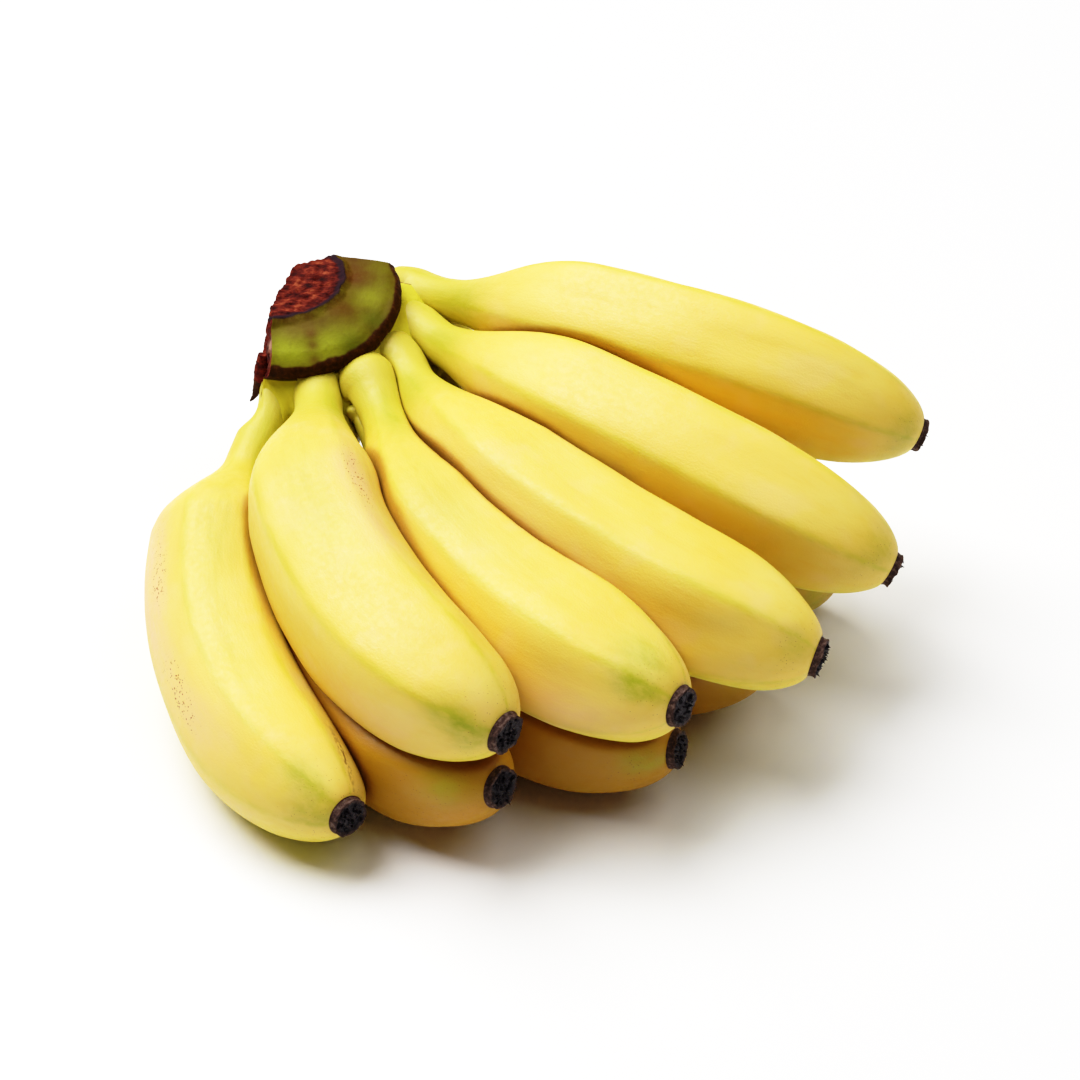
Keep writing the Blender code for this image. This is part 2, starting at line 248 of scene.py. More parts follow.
def neck_path(finger, shares):
    """Middle and direction of a neck inside the crown, from its core outwards."""
    axis = crown_axes()[2]
    end = centreline(finger, np.array([0.0]))[0][0]
    away = end - CROWN_CENTRE
    level = away - (away @ axis) * axis
    reach, height = NECK_CORE
    core = CROWN_CENTRE + reach * unit(level) + height * axis
    lead = end - direction(*finger.out) * NECK_LEAD
    near, far = (1 - shares)[:, None], shares[:, None]
    middles = near ** 2 * core + 2 * near * far * lead + far ** 2 * end
    return middles, unit(near * (lead - core) + far * (end - lead))


def whole_path(finger, stations, neck_stations):
    """Middles, directions, shares and radii from inside the crown to the tip."""
    neck_shares = np.linspace(0, 1, neck_stations, endpoint=False)
    neck, neck_ways = neck_path(finger, neck_shares)
    bunched = 1 - (1 - np.linspace(0, 1, stations)) ** 1.25
    body, body_ways = centreline(finger, bunched)
    reach = norm(neck[0] - neck[-1]) * 1.1 / finger.length
    shares = np.concatenate([(neck_shares - 1) * reach, bunched])
    return (np.vstack([neck, body]), np.vstack([neck_ways, body_ways]), shares,
            girth(finger, shares))


def in_scene(name, data):
    made = bpy.data.objects.new(name, data)
    bpy.context.scene.collection.objects.link(made)
    return made


# Node trees

class Graph:
    """Short calls for adding and joining nodes in one tree."""

    def __init__(self, tree):
        self.tree = tree

    def node(self, kind, **settings):
        made = self.tree.nodes.new(kind)
        for name, value in settings.items():
            setattr(made, name, value)
        return made

    def feed(self, socket, value):
        if isinstance(value, bpy.types.NodeSocket):
            self.tree.links.new(value, socket)
        else:
            socket.default_value = value

    def fill(self, made, values):
        """Feeds a node's sockets by their names."""
        for name, value in values.items():
            self.feed(made.inputs[name], value)
        return made

    def in_order(self, made, values):
        """Feeds a node's sockets from the first on and gives its first output."""
        for socket, value in zip(made.inputs, values):
            self.feed(socket, value)
        return made.outputs[0]

    def math(self, operation, *values, clamp=False):
        made = self.node("ShaderNodeMath", operation=operation, use_clamp=clamp)
        return self.in_order(made, values)

    def times(self, first, second, clamp=False):
        return self.math("MULTIPLY", first, second, clamp=clamp)

    def vector(self, operation, *values):
        return self.in_order(self.node("ShaderNodeVectorMath", operation=operation), values)

    def combined(self, *values):
        return self.in_order(self.node("ShaderNodeCombineXYZ"), values)

    def scaled(self, vector, scale):
        made = self.node("ShaderNodeVectorMath", operation="SCALE")
        self.feed(made.inputs[0], vector)
        self.feed(made.inputs["Scale"], scale)
        return made.outputs[0]

    def step(self, value, low, high, to_low=0.0, to_high=1.0):
        made = self.node("ShaderNodeMapRange", interpolation_type="SMOOTHSTEP")
        self.fill(made, {"Value": value, "From Min": low, "From Max": high,
                         "To Min": to_low, "To Max": to_high})
        return made.outputs["Result"]

    def noise(self, vector, scale, detail=2.0, roughness=0.5, colour=False):
        made = self.node("ShaderNodeTexNoise")
        self.fill(made, {"Vector": vector, "Scale": scale, "Detail": detail,
                         "Roughness": roughness})
        return made.outputs["Color" if colour else "Fac"]

    def mix(self, share, first, second):
        made = self.node("ShaderNodeMix", data_type="RGBA")
        self.feed(made.inputs[0], share)
        self.feed(made.inputs[6], first)
        self.feed(made.inputs[7], second)
        return made.outputs[2]

    def tinted(self, colour, layers):
        """Colour with each layer's tint laid over it by the layer's amount."""
        for amount, tint in layers:
            colour = self.mix(amount, colour, tint)
        return colour

    def ramp(self, value, stops):
        made = self.node("ShaderNodeValToRGB")
        band = made.color_ramp
        while len(band.elements) < len(stops):
            band.elements.new(0.5)
        for element, (place, colour) in zip(band.elements, stops):
            element.position = place
            element.color = (*colour, 1.0)
        self.feed(made.inputs[0], value)
        return made.outputs[0]


def ridge_line(graph, around, sharpness):
    """One along each of the five ridges, falling to nothing between them."""
    waves = graph.math("COSINE", graph.times(around, float(CORNERS)))
    return graph.math("POWER", graph.math("MULTIPLY_ADD", waves, -0.5, 0.5), sharpness)


def new_tree(name, sizes):
    """Geometry tree with one geometry input and the named sizes."""
    tree = bpy.data.node_groups.new(name, "GeometryNodeTree")
    tree.interface.new_socket("Geometry", in_out="INPUT", socket_type="NodeSocketGeometry")
    for label, kind, value in sizes:
        socket = tree.interface.new_socket(label, in_out="INPUT", socket_type="NodeSocket" + kind)
        if value is not None:
            socket.default_value = value
    tree.interface.new_socket("Geometry", in_out="OUTPUT", socket_type="NodeSocketGeometry")
    graph = Graph(tree)
    return tree, graph, graph.node("NodeGroupInput").outputs, graph.node("NodeGroupOutput")


def grown(name, guide, tree, values):
    """Plain mesh that a tree makes from a guide mesh with the named values."""
    holder = in_scene(name, guide)
    modifier = holder.modifiers.new("grow", "NODES")
    modifier.node_group = tree
    for item in tree.interface.items_tree:
        if item.in_out == "INPUT" and item.name in values:
            modifier[item.identifier] = values[item.name]
    graph = bpy.context.evaluated_depsgraph_get()
    mesh = bpy.data.meshes.new_from_object(holder.evaluated_get(graph))
    bpy.data.objects.remove(holder, do_unlink=True)
    mesh.name = name
    return mesh


def kept_attribute(graph, geometry, name, kind, value):
    made = graph.node("GeometryNodeStoreNamedAttribute", data_type=kind, domain="POINT")
    graph.feed(made.inputs["Geometry"], geometry)
    made.inputs["Name"].default_value = name
    graph.feed(made.inputs["Value"], value)
    return made.outputs[0]


def read_attribute(graph, name, kind="FLOAT"):
    made = graph.node("GeometryNodeInputNamedAttribute", data_type=kind)
    made.inputs["Name"].default_value = name
    return made.outputs["Attribute"]


def finished_geometry(graph, geometry, material, output):
    real = graph.node("GeometryNodeRealizeInstances")
    graph.feed(real.inputs[0], geometry)
    dressed = graph.node("GeometryNodeSetMaterial")
    graph.feed(dressed.inputs["Geometry"], real.outputs[0])
    graph.feed(dressed.inputs["Material"], material)
    graph.feed(output.inputs[0], dressed.outputs[0])


def swept_ring(graph, curve, around):
    """Tube round a curve, with capped ends, that keeps the turn of each of its points."""
    ring = graph.fill(graph.node("GeometryNodeCurvePrimitiveCircle"),
                      {"Resolution": around, "Radius": MM})
    along_ring = graph.node("GeometryNodeSplineParameter").outputs["Factor"]
    turned = kept_attribute(graph, ring.outputs[0], "turn", "FLOAT",
                            graph.times(along_ring, 2 * math.pi))
    sweep = graph.fill(graph.node("GeometryNodeCurveToMesh"),
                       {"Curve": curve, "Profile Curve": turned, "Fill Caps": True})
    return sweep.outputs[0]


def finger_tree():
    """Sweeps the rounded five-sided section of a banana along its middle line.

    The guide's points carry share, ahead, girth and facets. The result keeps share, the
    turn about the finger and the place on the straightened finger, for the skin.
    """
    tree, graph, given, output = new_tree("finger_sweep", [
        ("Around", "Int", 96), ("Roll", "Float", 0.0), ("Squeeze", "Float", 0.0),
        ("Corner Sharpness", "Float", 5.0), ("Ridge Height", "Float", 0.2),
        ("Unevenness", "Float", 0.3), ("Seed", "Float", 0.0), ("Skin", "Material", None)])
    path = graph.node("GeometryNodeMeshToCurve")
    graph.feed(path.inputs[0], given["Geometry"])
    middle = kept_attribute(graph, path.outputs[0], "middle", "FLOAT_VECTOR",
                            graph.node("GeometryNodeInputPosition").outputs[0])
    tube = swept_ring(graph, middle, given["Around"])

    turn = read_attribute(graph, "turn")
    radius = read_attribute(graph, "girth")
    facets = read_attribute(graph, "facets")
    length = read_attribute(graph, "reached")
    ahead = read_attribute(graph, "ahead", "FLOAT_VECTOR")
    start = read_attribute(graph, "middle", "FLOAT_VECTOR")
    plain = graph.math("SUBTRACT", turn, graph.math("RADIANS", given["Roll"]))
    rolled = graph.math("MULTIPLY_ADD", graph.math("SINE", plain), given["Squeeze"], plain)
    sharpness = given["Corner Sharpness"]
    total = None
    for corner in range(CORNERS):
        from_corner = graph.math("SUBTRACT", rolled, corner * 2 * math.pi / CORNERS)
        facing = graph.math("MAXIMUM", graph.math("COSINE", from_corner), 0.0)
        part = graph.math("POWER", facing, sharpness)
        total = part if total is None else graph.math("ADD", total, part)
    inverse = graph.math("DIVIDE", -1.0, sharpness)
    outline = graph.math("POWER", total, inverse)
    between = graph.math("POWER", math.cos(math.pi / CORNERS), sharpness)
    largest = graph.math("POWER", graph.times(2.0, between), inverse)
    outline = graph.math("DIVIDE", outline, largest)
    ridge = ridge_line(graph, rolled, 14.0)
    flatted = graph.math("MULTIPLY_ADD", graph.math("SUBTRACT", outline, 1.0), facets, 1.0)
    reach = graph.times(radius, flatted)
    reach = graph.math("MULTIPLY_ADD", graph.times(ridge, facets), given["Ridge Height"], reach)

    cos_turn, sin_turn = graph.math("COSINE", turn), graph.math("SINE", turn)
    straight = graph.combined(graph.times(cos_turn, radius), graph.times(sin_turn, radius), length)
    shifted = graph.scaled(graph.combined(0.0, 0.0, given["Seed"]), 100.0)
    rough_place = graph.vector("ADD", graph.vector("MULTIPLY", straight, (1.0, 1.0, 0.45)), shifted)
    lumps = graph.math("SUBTRACT", graph.noise(rough_place, 0.085, 1.5), 0.5)
    lump_size = graph.times(given["Unevenness"], graph.times(radius, 0.2))
    reach = graph.math("MULTIPLY_ADD", lumps, lump_size, reach)
    side = read_attribute(graph, "across", "FLOAT_VECTOR")
    back = graph.vector("CROSS_PRODUCT", ahead, side)
    offset = graph.vector("ADD", graph.scaled(back, graph.times(cos_turn, reach)),
                          graph.scaled(side, graph.times(sin_turn, reach)))
    moved = graph.fill(graph.node("GeometryNodeSetPosition"), {
        "Geometry": tube, "Position": graph.vector("ADD", start, graph.scaled(offset, MM))})
    kept = kept_attribute(graph, moved.outputs[0], "straight", "FLOAT_VECTOR", straight)
    kept = kept_attribute(graph, kept, "around", "FLOAT", rolled)
    finished_geometry(graph, kept, given["Skin"], output)
    return tree


def read_points(mesh, name=None, size=1):
    values = np.empty(len(mesh.vertices) * size)
    if name is None:
        mesh.vertices.foreach_get("co", values)
    else:
        field = "vector" if size == 3 else "value"
        mesh.attributes[name].data.foreach_get(field, values)
    return values.reshape(-1, size) if size > 1 else values


def in_millimetres(mesh, name=None):
    """A mesh's points, or places kept on them, measured as in the solids."""
    return read_points(mesh, name, 3) / MM + ORIGIN


def write_attribute(mesh, name, values):
    made = mesh.attributes.new(name, "FLOAT", "POINT")
    made.data.foreach_set("value", np.asarray(values, float))


def guide_line(name, points, numbers, vectors=()):
    """Polyline through placed points, with what a tree needs to know at each of them."""
    guide = bpy.data.meshes.new(name)
    edges = [(k, k + 1) for k in range(len(points) - 1)]
    guide.from_pydata([tuple(point) for point in points], edges, [])
    for label, values in numbers:
        write_attribute(guide, label, values)
    for label, values in vectors:
        made = guide.attributes.new(label, "FLOAT_VECTOR", "POINT")
        made.data.foreach_set("vector", values.ravel())
    return guide


def finger_guide(name, finger, stations, neck_stations):
    """Line down the middle of a finger, for the sweep."""
    middles, ways, shares, radii = whole_path(finger, stations, neck_stations)
    facets = ease(*finger.shoulder, shares) * (1 - ease(FACET_FADE, 1.0, shares))
    steps = norm(np.diff(middles, axis=0), axis=1)
    reached = np.concatenate([[0], np.cumsum(steps)])
    guide = guide_line(
        name, placed(middles),
        (("share", shares), ("girth", radii), ("facets", facets), ("reached", reached)),
        (("ahead", ways), ("across", across(finger, ways))))
    return guide, middles


def pressed(points, middles, radii, others):
    """Share of each point's reach that is left where its finger meets its neighbours."""
    kept = np.ones(len(points))
    reach = norm(points - middles, axis=1)

    def clearance(rows, share):
        tried = middles[rows] + (points[rows] - middles[rows]) * share[:, None]
        clear = np.full(len(rows), np.inf)
        for line, widths in others:
            away = norm(tried[:, None] - line[None], axis=2) - widths[None]
            clear = np.minimum(clear, away.min(axis=1))
        return clear - (reach[rows] * share - radii[rows])

    rows = np.arange(len(points))
    near = clearance(rows, np.ones(len(points)))
    rows = rows[near < PRESS_GAP]
    low = np.full(len(rows), DEEPEST_PRESS)
    high = np.ones(len(rows))
    for _ in range(HALVINGS):
        share = (low + high) / 2
        fits = clearance(rows, share) >= PRESS_GAP
        low = np.where(fits, share, low)
        high = np.where(fits, high, share)
    kept[rows] = low
    return kept, near


def finger_piece(name, finger, others, tree, skin, seed, marks):
    """One banana with its neck, pressed where it meets its neighbours and the table."""
    guide, middles = finger_guide(name, finger, STATIONS, NECK_STATIONS)
    mesh = grown(name, guide, tree, {
        "Around": AROUND, "Roll": float(finger.roll), "Squeeze": float(finger.squeeze),
        "Corner Sharpness": float(finger.corner), "Ridge Height": RIDGE_HEIGHT * finger.corner,
        "Unevenness": UNEVENNESS, "Seed": float(seed), "Skin": skin})
    points, centre = in_millimetres(mesh), in_millimetres(mesh, "middle")
    own = read_points(mesh, "girth")
    share = read_points(mesh, "share")
    lines = []
    for other in others:
        line, _, _, widths = whole_path(other, *NEIGHBOUR_STATIONS)
        apart = norm(line[:, None] - middles[None, ::8], axis=2).min()
        if apart < NEIGHBOUR_REACH * finger.radius:
            lines.append((line, widths))
    left, gap = pressed(points, centre, own, lines)
    grid = left.reshape(len(middles), AROUND)
    left = np.minimum(blurred(grid, PRESS_BLUR), grid + PRESS_SLACK).ravel()
    points = centre + (points - centre) * left[:, None]
    by_crown = 1 - ease(*NECK_CUT_FADE, share)
    for cut, inset in ((KNIFE_CUTS[0], 0), (KNIFE_CUTS[1], NECK_CUT_INSET), (FOOT_CUT, 0)):
        points = cut_back(points, cut, inset, by_crown)
    points[:, 2] = np.maximum(points[:, 2], ORIGIN[2])
    mesh.vertices.foreach_set("co", placed(points).ravel())
    turn = np.degrees(read_points(mesh, "turn"))
    for kind in ("green", "blush_and_sheen", "bruise", "freckle"):
        amount = np.zeros(len(points))
        for mark, at, angle, long, wide, strength in marks:
            if mark == kind:
                off = (turn - angle + 180) % 360 - 180
                amount += strength * np.exp(-((share - at) / long) ** 2 - (off / wide) ** 2)
        write_attribute(mesh, kind, np.clip(amount, 0, 1))
    # How far each point faces up, for the painted lit top and the painted shaded flanks.
    upward = np.empty(3 * len(points))
    mesh.vertex_normals.foreach_get("vector", upward)
    write_attribute(mesh, "upward", ease(*PAINTED_LIGHT_RISE, upward.reshape(-1, 3)[:, 2]))
    gap = np.maximum(gap, 0)
    body = ease(*CLOSE_START, share)
    # Painted shadow: brown where the skin nearly touches a neighbour.
    write_attribute(mesh, "contact_shadow", np.exp(-(gap / CONTACT_SHADOW_REACH) ** 2) * body)
    # Painted shade: deeper yellow near neighbours, and over the lower row from about a third of its
    # length on.
    painted_shade = UPPER_PAINTED_SHADE * np.exp(-(gap / PAINTED_SHADE_REACH) ** 2) * body
    shaded = LOWER_PAINTED_SHADE.get(name.replace("finger_", ""), 0) * ease(*LOWER_SHADE_START, share)
    write_attribute(mesh, "painted_shade", np.maximum(painted_shade, shaded))
    for label in ("middle", "ahead", "across", "girth", "facets", "reached", "turn"):
        mesh.attributes.remove(mesh.attributes[label])
    return finished_piece(name, mesh)


def finished_piece(name, mesh):
    mesh.shade_smooth()
    mesh.update()
    piece = in_scene(name + "_finish", mesh)
    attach(piece, "root")
    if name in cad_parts:
        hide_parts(name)
    return piece


# Materials

STREAK_TINT = (0.80, 0.50, 0.05, 1)
PEACH_TINT = (0.86, 0.60, 0.20, 1)
# Painted shade: the deeper yellow of skin near neighbours and over the lower row.
PAINTED_SHADE_TINT = (0.47, 0.215, 0.007, 1)
RIDGE_TINT = (0.62, 0.52, 0.035, 1)
NECK_TINT = (0.50, 0.46, 0.035, 1)
GREEN_TINT = (0.36, 0.38, 0.014, 1)
# Real orange blush, also laid as painted pale sheen on the first finger's lit left flank.
BLUSH_AND_SHEEN_TINT = (0.84, 0.51, 0.25, 1)
FRECKLE_TINT = (0.26, 0.070, 0.012, 1)
BRUISE_TINT = (0.16, 0.055, 0.015, 1)
# Painted shadow: brown where two fingers touch.
CONTACT_SHADOW_TINT = (0.26, 0.085, 0.004, 1)
SCAR_EDGE_TINT = (0.06, 0.012, 0.010, 1)
LIME_LOBE_TINT = (0.27, 0.29, 0.020, 1)
DEEP_GREEN_TINT = (0.070, 0.10, 0.003, 1)
RUSSET_TINT = (0.095, 0.032, 0.004, 1)
BLOOM_TINT = (0.24, 0.17, 0.045, 1)
GRAIN_TINT = (0.13, 0.09, 0.015, 1)
PALE_FLESH_TINT = (0.62, 0.34, 0.24, 1)
CUT_EDGE_TINT = (0.022, 0.010, 0.016, 1)


def new_material(name):
    made = bpy.data.materials.new(name)
    made.use_nodes = True
    graph = Graph(made.node_tree)
    shader = made.node_tree.nodes["Principled BSDF"]
    return made, graph, shader


def attribute(graph, name, output="Fac"):
    return graph.node("ShaderNodeAttribute", attribute_name=name).outputs[output]


def finish(graph, shader, colour, roughness, specular, relief, strength, depth):
    """Joins a finish's colour, roughness and fine relief to its shader."""
    bump = graph.fill(graph.node("ShaderNodeBump"),
                      {"Strength": strength, "Distance": depth, "Height": relief})
    graph.fill(shader, {"Base Color": colour, "Roughness": roughness,
                        "Specular IOR Level": specular, "Normal": bump.outputs[0]})


def banana_skin():
    made, graph, shader = new_material("banana_skin_waxy")
    place = attribute(graph, "straight", "Vector")
    field = {name: attribute(graph, name) for name in (
        "share", "around", "painted_shade", "green", "blush_and_sheen", "bruise", "freckle", "upward", "contact_shadow")}
    share = field["share"]
    long_place = graph.vector("MULTIPLY", place, (1.0, 1.0, 0.18))
    broad = graph.noise(place, 0.045, 3.0, 0.55)
    streaks = graph.noise(long_place, 0.55, 4.0, 0.6)
    patches = graph.noise(place, 0.11, 2.0, 0.5)
    # Painted light and shade: warm for the shaded flanks, lime for the lit tops.
    shaded_flank_colour = graph.ramp(broad, [(0.30, (0.85, 0.575, 0.085)), (0.5, (0.84, 0.60, 0.11)),
                              (0.72, (0.83, 0.63, 0.15))])
    lime = graph.ramp(broad, [(0.30, (0.81, 0.63, 0.060)), (0.5, (0.79, 0.67, 0.075)),
                              (0.72, (0.77, 0.71, 0.11))])
    # Painted shade: deeper yellow near neighbours and over the lower row, where the ridge lines fade.
    painted_shade = graph.times(field["painted_shade"], graph.step(broad, 0.2, 0.8, 1.0, 0.85))
    ridge = graph.times(ridge_line(graph, field["around"], 24.0),
                        graph.step(streaks, 0.30, 0.62, 0.15, 0.6))
    ridge = graph.times(ridge, graph.math("MULTIPLY_ADD", field["painted_shade"], -0.85, 1.0))
    neck = graph.times(graph.step(share, 0.04, 0.27, 1.0, 0.0),
                       graph.step(broad, 0.2, 0.75, 1.0, 0.65))
    greener = graph.times(field["green"], graph.step(streaks, 0.25, 0.65, 0.6, 1.15), clamp=True)
    # Blush marks: real blush, and painted sheen on the first finger's lit left flank.
    blush_and_sheen_amount = graph.times(field["blush_and_sheen"], graph.step(streaks, 0.3, 0.7, 0.6, 1.0))
    speck = graph.node("ShaderNodeTexVoronoi", feature="F1")
    graph.fill(speck, {"Vector": graph.vector("MULTIPLY", place, (1.0, 1.0, 0.7)), "Scale": 2.2})
    sparse = graph.noise(place, 0.8, 2.0)
    spread = graph.math("MAXIMUM", field["freckle"], graph.step(share, 0.88, 0.98, 0.03, 0.35))
    size = graph.times(graph.math("MULTIPLY_ADD", spread, 0.42, 0.02),
                       graph.step(sparse, 0.40, 0.60))
    dots = graph.step(graph.math("SUBTRACT", speck.outputs["Distance"], size), -0.07, 0.03, 1.0, 0.0)
    browned = graph.times(field["bruise"],
                          graph.step(graph.noise(long_place, 1.6, 3.0), 0.4, 0.6), clamp=True)
    # Painted light and shade: lime where the skin faces up to the light, warm on its shaded flanks.
    colour = graph.tinted(graph.mix(field["upward"], shaded_flank_colour, lime), (
        (graph.step(streaks, 0.45, 0.75, 0.0, 0.30), STREAK_TINT),
        (graph.step(patches, 0.52, 0.72, 0.0, 0.45), PEACH_TINT),
        (painted_shade, PAINTED_SHADE_TINT),
        (ridge, RIDGE_TINT),
        (graph.times(neck, 0.85), NECK_TINT),
        (greener, GREEN_TINT),
        (blush_and_sheen_amount, BLUSH_AND_SHEEN_TINT),
        (graph.times(dots, 0.95), FRECKLE_TINT),
        (browned, BRUISE_TINT),
        # Painted shadow where two fingers touch.
        (graph.times(field["contact_shadow"], 0.6), CONTACT_SHADOW_TINT),
        (graph.step(share, 0.9994, 0.99995), SCAR_EDGE_TINT)))
    roughness = graph.step(graph.noise(place, 0.9, 3.0), 0.3, 0.7, 0.44, 0.58)
    pores = graph.math("ADD", graph.times(graph.noise(place, 2.6, 3.0), 0.5),
                       graph.times(streaks, 0.8))
    relief = graph.math("SUBTRACT", pores, graph.times(dots, 0.35))
    graph.fill(shader, {"Subsurface Weight": 0.15, "Subsurface Radius": (1.0, 0.5, 0.1),
                        "Subsurface Scale": 0.003})
    finish(graph, shader, colour, roughness, 0.45, relief, 0.28, 0.0004)
    return made


def crown_rind():
    made, graph, shader = new_material("crown_rind_and_cut")
    texture = graph.node("ShaderNodeTexCoord").outputs["Object"]
    place = graph.scaled(texture, 1000.0)
    field = {name: attribute(graph, name) for name in (
        "cut", "stalk", "band", "foot", "lime", "bloom", "deep", "russet", "pale")}
    blotch = graph.noise(place, 0.16, 3.0, 0.6)
    fine = graph.noise(place, 0.9, 4.0, 0.6)
    rind = graph.ramp(blotch, [(0.32, (0.085, 0.042, 0.003)), (0.50, (0.11, 0.075, 0.004)),
                               (0.68, (0.13, 0.11, 0.006))])
    foot_colour = graph.ramp(blotch, [(0.3, (0.55, 0.46, 0.035)), (0.7, (0.60, 0.56, 0.05))])
    bark = graph.ramp(fine, [(0.3, (0.028, 0.009, 0.001)), (0.55, (0.055, 0.018, 0.002)),
                             (0.75, (0.10, 0.038, 0.005))])
    rind = graph.tinted(rind, (
        (field["lime"], LIME_LOBE_TINT),
        (field["deep"], DEEP_GREEN_TINT),
        (field["russet"], RUSSET_TINT),
        (graph.times(field["bloom"], 0.45), BLOOM_TINT),
        (graph.step(fine, 0.45, 0.8, 0.0, 0.30), GRAIN_TINT),
        (field["foot"], foot_colour),
        (field["band"], bark)))
    strands = graph.noise(graph.vector("MULTIPLY", place, (0.65, 1.0, 1.0)), 0.55, 5.0, 0.62)
    flesh = graph.ramp(strands, [(0.34, (0.022, 0.003, 0.003)), (0.47, (0.075, 0.008, 0.005)),
                                 (0.58, (0.17, 0.026, 0.013)), (0.72, (0.36, 0.095, 0.042))])
    flesh = graph.mix(field["pale"], flesh, PALE_FLESH_TINT)
    inside = graph.step(field["cut"], 0.0, 0.15)
    rim = graph.times(graph.step(field["stalk"], -0.45, 0.05),
                      graph.step(field["stalk"], 0.5, 1.5, 1.0, 0.0))
    colour = graph.tinted(rind, ((inside, flesh), (graph.times(rim, 0.95), CUT_EDGE_TINT)))
    roughness = graph.step(field["cut"], 0.0, 0.2, 0.66, 0.75)
    finish(graph, shader, colour, roughness, 0.12, graph.mix(inside, fine, strands), 0.3, 0.0005)
    return made


def dried_stub():
    made, graph, shader = new_material("blossom_end_dried")
    place = attribute(graph, "own_place", "Vector")
    core = attribute(graph, "core")
    fine = graph.noise(place, 1.6, 5.0, 0.65)
    ridged = graph.noise(place, 1.1, 4.0, 0.65)
    husk = graph.ramp(ridged, [(0.30, (0.022, 0.008, 0.006)), (0.50, (0.065, 0.030, 0.022)),
                               (0.68, (0.19, 0.12, 0.095))])
    heart = graph.ramp(fine, [(0.35, (0.006, 0.004, 0.008)), (0.62, (0.030, 0.018, 0.026)),
                              (0.80, (0.13, 0.09, 0.10))])
    finish(graph, shader, graph.mix(core, husk, heart), graph.step(core, 0.0, 1.0, 0.8, 0.42),
           0.5, fine, 0.8, 0.0005)
    return made


# Blossom ends

STUB_PROFILE = [  # share of its radius, share of its height, how far it is dried heart
    (1.06, -0.30, 0), (1.04, 0.05, 0), (1.00, 0.30, 0), (0.98, 0.55, 0), (1.00, 0.80, 0),
    (1.01, 0.95, 0), (0.98, 1.03, 0.1), (0.91, 1.04, 0.3), (0.84, 1.00, 0.6), (0.78, 0.90, 1),
    (0.71, 0.82, 1), (0.60, 0.80, 1), (0.46, 0.84, 1), (0.32, 0.90, 1), (0.18, 0.93, 1),
    (0.03, 0.93, 1),
]
STUB_LENGTH = 1.2
STUB_SHARE = 0.95
STUB_AROUND = 72
STUB_LIFT = 0.15
HEART_FROM = 0.8         # faces this much dried heart or more carry bits
BIT_SIZES = {"Vertices": 5, "Radius Top": 0.00005, "Radius Bottom": 0.00028, "Depth": 0.0009}


def stub_tree():
    """Turns the stub's outline round its axis, roughens it and seeds its heart with bits."""
    tree, graph, given, output = new_tree("blossom_end_turning", [
        ("Radius", "Float", 4.4), ("Height", "Float", 1.5), ("Around", "Int", 72),
        ("Raggedness", "Float", 0.5), ("Bits", "Float", 1.6), ("Seed", "Int", 0),
        ("Husk", "Material", None)])
    path = graph.node("GeometryNodeMeshToCurve")
    graph.feed(path.inputs[0], given["Geometry"])
    tube = swept_ring(graph, path.outputs[0], given["Around"])
    turn = read_attribute(graph, "turn")
    reach = graph.times(read_attribute(graph, "reach"), given["Radius"])
    height = graph.times(read_attribute(graph, "height"), given["Height"])
    plain = graph.combined(graph.times(graph.math("COSINE", turn), reach),
                           graph.times(graph.math("SINE", turn), reach), height)
    apart = graph.combined(graph.times(given["Seed"], 37.0))
    place = graph.vector("ADD", plain, apart)
    middling = (0.5, 0.5, 0.5)
    wide = graph.vector("SUBTRACT", graph.noise(place, 0.30, 2.0, 0.5, colour=True), middling)
    fine = graph.vector("SUBTRACT", graph.noise(place, 1.25, 3.0, 0.6, colour=True), middling)
    rough = graph.vector("ADD", graph.scaled(wide, 2.6), graph.scaled(fine, 1.3))
    ragged = graph.times(given["Raggedness"], graph.step(height, -0.3, 1.2, 0.25, 1.0))
    rough = graph.scaled(rough, ragged)
    moved = graph.fill(graph.node("GeometryNodeSetPosition"), {
        "Geometry": tube, "Position": graph.scaled(graph.vector("ADD", plain, rough), MM)})
    heart = graph.node("FunctionNodeCompare")
    graph.feed(heart.inputs[0], read_attribute(graph, "core"))
    graph.feed(heart.inputs[1], HEART_FROM)
    scatter = graph.fill(graph.node("GeometryNodeDistributePointsOnFaces"), {
        "Mesh": moved.outputs[0], "Selection": heart.outputs[0],
        "Density": graph.times(given["Bits"], 1e6), "Seed": given["Seed"]})
    bit = graph.fill(graph.node("GeometryNodeMeshCone"), BIT_SIZES)
    tilt = graph.node("FunctionNodeRandomValue", data_type="FLOAT_VECTOR")
    tilt.inputs[0].default_value = (-0.9, -0.9, 0)
    tilt.inputs[1].default_value = (0.9, 0.9, 6.28)
    graph.feed(tilt.inputs["Seed"], given["Seed"])
    size = graph.node("FunctionNodeRandomValue", data_type="FLOAT")
    size.inputs[2].default_value = 0.5
    size.inputs[3].default_value = 1.25
    graph.feed(size.inputs["Seed"], given["Seed"])
    strew = graph.fill(graph.node("GeometryNodeInstanceOnPoints"), {
        "Points": scatter.outputs["Points"], "Instance": bit.outputs[0],
        "Rotation": tilt.outputs[0], "Scale": size.outputs[1]})
    real = graph.node("GeometryNodeRealizeInstances")
    graph.feed(real.inputs[0], strew.outputs[0])
    marked = kept_attribute(graph, real.outputs[0], "core", "FLOAT", 1.0)
    both = graph.node("GeometryNodeJoinGeometry")
    graph.feed(both.inputs[0], marked)
    graph.feed(both.inputs[0], moved.outputs[0])
    position = graph.node("GeometryNodeInputPosition").outputs[0]
    kept = kept_attribute(graph, both.outputs[0], "own_place", "FLOAT_VECTOR", graph.vector(
        "ADD", graph.scaled(position, 1000.0), apart))
    finished_geometry(graph, kept, given["Husk"], output)
    return tree


def stub_guide():
    rungs = [(0, 0, k * MM) for k in range(len(STUB_PROFILE))]
    return guide_line("stub_outline", rungs, zip(("reach", "height", "core"), zip(*STUB_PROFILE)))


